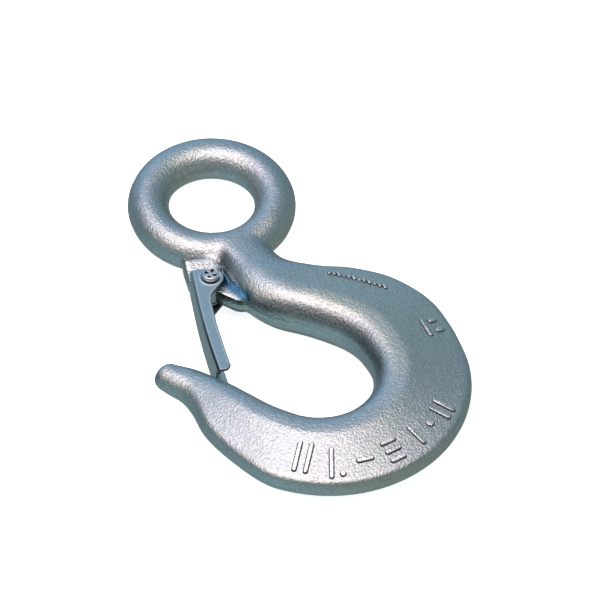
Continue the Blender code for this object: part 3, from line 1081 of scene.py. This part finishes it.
def plated_forging():
    """Bright zinc on a shot-blasted forging: blue and green-grey tints, grain, a few pits, and painted
    shade and painted highlights from the mesh's attributes.
    """
    n = Nodes("plated_forging")
    tint = n.remap(n.noise(14.0, 3.0), 0.35, 0.65, 0.0, 1.0)
    warm = n.remap(n.noise(4.0, 4.0), 0.5, 0.75, 0.0, 0.5)
    colour = n.mix(tint, (0.52, 0.58, 0.57, 1.0), (0.53, 0.565, 0.60, 1.0))
    colour = n.mix(n.painted("greening"), colour, (0.58, 0.60, 0.525, 1.0))
    colour = n.mix(warm, colour, (0.60, 0.58, 0.58, 1.0))
    grain = n.remap(n.noise(0.8, 2.0), 0.38, 0.66, 0.0, 1.0)
    colour = n.mix(n.math("MULTIPLY", grain, 0.5), colour, (0.30, 0.33, 0.35, 1.0))
    # Rubbed metal on the forging's corners, with painted highlights on the tongue's edge and on the marks'
    # tops.
    brightened = n.math("MULTIPLY", n.painted("wear_and_highlight"), n.remap(n.noise(3.0, 3.0), 0.4, 0.65, 0.15, 0.9))
    colour = n.mix(brightened, colour, (0.84, 0.84, 0.84, 1.0))
    # Painted shade, dark blue, in the hollow.
    colour = n.mix(n.painted("painted_hollow_shade"), colour, (0.05, 0.14, 0.23, 1.0))
    # Painted shade, and the dark line along the forging's seam, darken the colour where the attribute is
    # painted.
    shade_and_seam = n.math("MULTIPLY", n.painted("painted_shade_and_seam"), n.remap(grain, 0.0, 1.0, 0.8, 1.2))
    colour = n.mix(shade_and_seam, colour, (0.09, 0.10, 0.11, 1.0))
    rough = n.remap(n.noise(3.0, 3.0), 0.3, 0.7, 0.24, 0.32)
    rough = n.math("ADD", rough, n.math("MULTIPLY", grain, 0.05))
    peel = n.bump(n.noise(1.5, 2.0), 0.08, 0.8)
    fine = n.bump(n.noise(0.75, 2.0), 0.24, 0.8, peel)
    pits = n.bump(n.remap(n.cells(13.0), 0.01, 0.03, 0.0, 1.0), 0.3, 0.5, fine)
    return n.metal(colour, rough, pits)


def plated_sheet():
    """The same zinc on smooth rolled sheet."""
    n = Nodes("plated_sheet")
    tint = n.remap(n.noise(9.0, 2.0), 0.35, 0.65, 0.0, 1.0)
    colour = n.mix(tint, (0.46, 0.56, 0.58, 1.0), (0.45, 0.55, 0.62, 1.0))
    # Painted highlight just inside the cheeks' free edges.
    colour = n.mix(n.painted("wear_and_highlight"), colour, (0.88, 0.90, 0.93, 1.0))
    # Painted shade along the bends, the cut edges and the inside of the channel.
    colour = n.mix(n.painted("painted_shade_and_seam"), colour, (0.05, 0.045, 0.05, 1.0))
    rough = n.remap(n.noise(1.5, 3.0), 0.3, 0.7, 0.2, 0.3)
    return n.metal(colour, rough, n.bump(n.noise(0.8, 3.0), 0.03, 0.4))


def rivet_steel():
    n = Nodes("rivet_steel")
    tint = n.remap(n.noise(1.2, 2.0), 0.35, 0.65, 0.0, 1.0)
    colour = n.mix(tint, (0.60, 0.65, 0.70, 1.0), (0.66, 0.66, 0.68, 1.0))
    # Painted shade in the dents and under the heads.
    colour = n.mix(n.painted("painted_shade_and_seam"), colour, (0.05, 0.06, 0.09, 1.0))
    rough = n.remap(n.noise(0.6, 3.0), 0.3, 0.7, 0.16, 0.26)
    return n.metal(colour, rough, n.bump(n.noise(0.5, 3.0), 0.03, 0.4))


def spring_wire():
    n = Nodes("spring_wire")
    tint = n.remap(n.noise(2.0, 2.0), 0.35, 0.65, 0.0, 1.0)
    colour = n.mix(tint, (0.4, 0.42, 0.45, 1.0), (0.33, 0.34, 0.37, 1.0))
    rough = n.remap(n.noise(0.5, 2.0), 0.3, 0.7, 0.22, 0.34)
    return n.metal(colour, rough, n.bump(n.noise(0.3, 2.0), 0.02, 0.4))


# ---------------------------------------------------------------- stage

CAMERA_AZIMUTH_DEG = -24.5
CAMERA_ELEVATION_DEG = 48.0
CAMERA_DISTANCE = 1.5
VIEW_WIDTH = 0.2041
VIEW_RIGHT_OF_EYE = 30.03
VIEW_BELOW_EYE = 32.1


def view_axes():
    """The picture's right and up, and the way back to the camera."""
    azimuth = math.radians(CAMERA_AZIMUTH_DEG)
    elevation = math.radians(CAMERA_ELEVATION_DEG)
    right = Vector((math.cos(azimuth), math.sin(azimuth), 0.0))
    ahead = Vector((-math.sin(azimuth), math.cos(azimuth), 0.0))
    up = ahead * math.sin(elevation) + Vector((0.0, 0.0, math.cos(elevation)))
    return right, up, right.cross(up)


def camera():
    right, up, back = view_axes()
    target = Vector(EYE_CENTRE) + right * VIEW_RIGHT_OF_EYE - up * VIEW_BELOW_EYE
    data = bpy.data.cameras.new("camera")
    data.type = "ORTHO"
    data.ortho_scale = VIEW_WIDTH
    made = new_object("camera", data)
    made.location = target * MM + back * CAMERA_DISTANCE
    made.rotation_mode = "QUATERNION"
    made.rotation_quaternion = back.to_track_quat("Z", "Y")
    bpy.context.scene.camera = made


FLOOR_HALF = 15.0
UNDER_FLOOR = -0.5


def floor(name, height):
    """A wide, plain and pale square."""
    half = FLOOR_HALF
    corners = [(-half, -half), (half, -half), (half, half), (-half, half)]
    mesh = bpy.data.meshes.new(name)
    mesh.from_pydata([(x, y, height) for x, y in corners], [], [(0, 1, 2, 3)])
    made = new_object(name, mesh)
    n = Nodes(name)
    n.shader.inputs["Base Color"].default_value = (0.9, 0.9, 0.9, 1.0)
    n.shader.inputs["Roughness"].default_value = 0.9
    n.shader.inputs["Emission Color"].default_value = (1.0, 1.0, 1.0, 1.0)
    n.shader.inputs["Emission Strength"].default_value = 0.8
    mesh.materials.append(n.material)
    made.visible_glossy = False
    made.visible_shadow = False


# The soft box: how far ahead, to the left and up it is, and its size, in metres, and its power.
BOX_AHEAD = 0.16
BOX_LEFT = 0.12
BOX_HEIGHT = 1.0
BOX_SIZE = (0.95, 0.62)
BOX_POWER = 4.0


def lights():
    """A big soft box over the floor; the metal mirrors the studio's walls instead, in world()."""
    right, up = view_axes()[:2]
    ahead = Vector((up.x, up.y, 0.0)).normalized()
    place = ahead * BOX_AHEAD - right * BOX_LEFT + Vector((0.0, 0.0, BOX_HEIGHT))
    data = bpy.data.lights.new("overhead_box", "AREA")
    data.shape = "RECTANGLE"
    data.size, data.size_y = BOX_SIZE
    data.energy = BOX_POWER
    made = new_object("overhead_box", data)
    made.location = place
    made.rotation_mode = "QUATERNION"
    made.rotation_quaternion = place.to_track_quat("Z", "Y")
    made.visible_glossy = False


# The studio all round: an even grey, and soft patches of light, each with its azimuth and elevation
# in degrees, how tight it is, and its colour.
STUDIO_GREY = (0.102, 0.10, 0.098)
STUDIO_PATCHES = (
    (185.0, 55.0, 14.0, (1.6, 1.24, 1.18)),
    (-100.0, 80.0, 12.0, (2.85, 2.35, 2.28)),
    (120.0, 62.0, 16.0, (1.40, 1.25, 1.38)),
    (83.0, 17.0, 5.8, (0.26, 0.44, 0.69)),
    (2.0, 24.0, 1.0, (0.05, 0.16, 0.21)),
    (-163.0, -39.0, 2.0, (0.15, 0.32, 0.39)),
    (-68.0, -37.0, 1.0, (0.17, 0.14, 0.06)),
)


def world():
    """The grey, with each patch fading out from its middle."""
    made = bpy.data.worlds.new("studio")
    bpy.context.scene.world = made
    made.use_nodes = True
    tree = made.node_tree
    direction = tree.nodes.new("ShaderNodeTexCoord").outputs["Generated"]
    total = STUDIO_GREY
    for azimuth_deg, elevation_deg, tightness, colour in STUDIO_PATCHES:
        azimuth, elevation = math.radians(azimuth_deg), math.radians(elevation_deg)
        level = math.cos(elevation)
        middle = (level * math.cos(azimuth), level * math.sin(azimuth), math.sin(elevation))
        nearness = math_node(tree, "VectorMath", "DOT_PRODUCT", direction, middle).outputs["Value"]
        fall = math_node(tree, "Math", "MULTIPLY_ADD", nearness, tightness, -tightness).outputs[0]
        strength = math_node(tree, "Math", "EXPONENT", fall).outputs[0]
        total = math_node(tree, "VectorMath", "MULTIPLY_ADD", strength, colour, total).outputs["Vector"]
    tree.links.new(total, tree.nodes["Background"].inputs["Color"])


def math_node(tree, kind, operation, *values):
    node = tree.nodes.new("ShaderNode" + kind)
    node.operation = operation
    for socket, value in zip(node.inputs, values):
        if isinstance(value, bpy.types.NodeSocket):
            tree.links.new(value, socket)
        else:
            socket.default_value = value
    return node


# Pieces that aren't held inside their CAD node's box.
UNHELD = ("latch_sheet",)


def main():
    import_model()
    camera()
    # The second floor fills the foot of low views, where the picture starts under the first.
    floor("floor", 0.0)
    floor("under_floor", UNDER_FLOOR)
    lights()
    world()
    bpy.context.scene.view_settings.view_transform = "Standard"

    makers = (plated_forging, plated_sheet, rivet_steel, spring_wire)
    finishes = {maker.__name__: maker() for maker in makers}
    forging = forging_mesh()
    marks = marks_mesh(forging)
    sheet = latch_mesh()
    rivet = rivet_mesh()
    # Painted shade for each mesh, with the dark line along the forging's seam.
    for mesh, painted_shade_and_seam in ((forging, forging_shade_and_seam), (sheet, latch_painted_shade), (rivet, rivet_painted_shade)):
        paint(mesh, "painted_shade_and_seam", painted_shade_and_seam(mesh))
    # Painted shade at the marks' feet and painted highlight on their tops.
    paint(marks, "painted_shade_and_seam", by_mark_ring(marks, MARK_PAINTED_SHADE))
    paint(marks, "wear_and_highlight", by_mark_ring(marks, MARK_PAINTED_HIGHLIGHT))
    # Painted dark blue shade in the hollow.
    paint(forging, "painted_hollow_shade", forging_hollow_shade(forging))
    paint(forging, "greening", forging_greening(forging))
    # Rubbed corners, and a painted highlight on the tongue's edge.
    paint(forging, "wear_and_highlight", forging_wear_and_highlight(forging))
    # Painted highlight along the latch's free edges.
    paint(sheet, "wear_and_highlight", latch_painted_highlight(sheet))
    latch_frame = HOOK_FRAME @ PIVOT_FRAME
    pieces = (
        ("forging", forging, HOOK_FRAME, "hook_body", "hook", "plated_forging"),
        ("raised_marks", marks, HOOK_FRAME, None, "hook", "plated_forging"),
        ("latch_sheet", sheet, latch_frame, "latch", "latch", "plated_sheet"),
        ("rivet", rivet, latch_frame, "latch_pin", "hook", "rivet_steel"),
    )
    for name, mesh, frame, node, body, finish in pieces:
        holder = None if name in UNHELD else node
        made = new_object(name, finish_mesh(mesh, frame, holder))
        made.data.materials.append(finishes[finish])
        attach(made, body)
        if node:
            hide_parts(node)

    spring = new_object("spring", finish_mesh(spring_mesh(), latch_frame, "latch_spring"))
    spring.data.materials.append(finishes["spring_wire"])
    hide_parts("latch_spring")
    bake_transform(spring)


main()
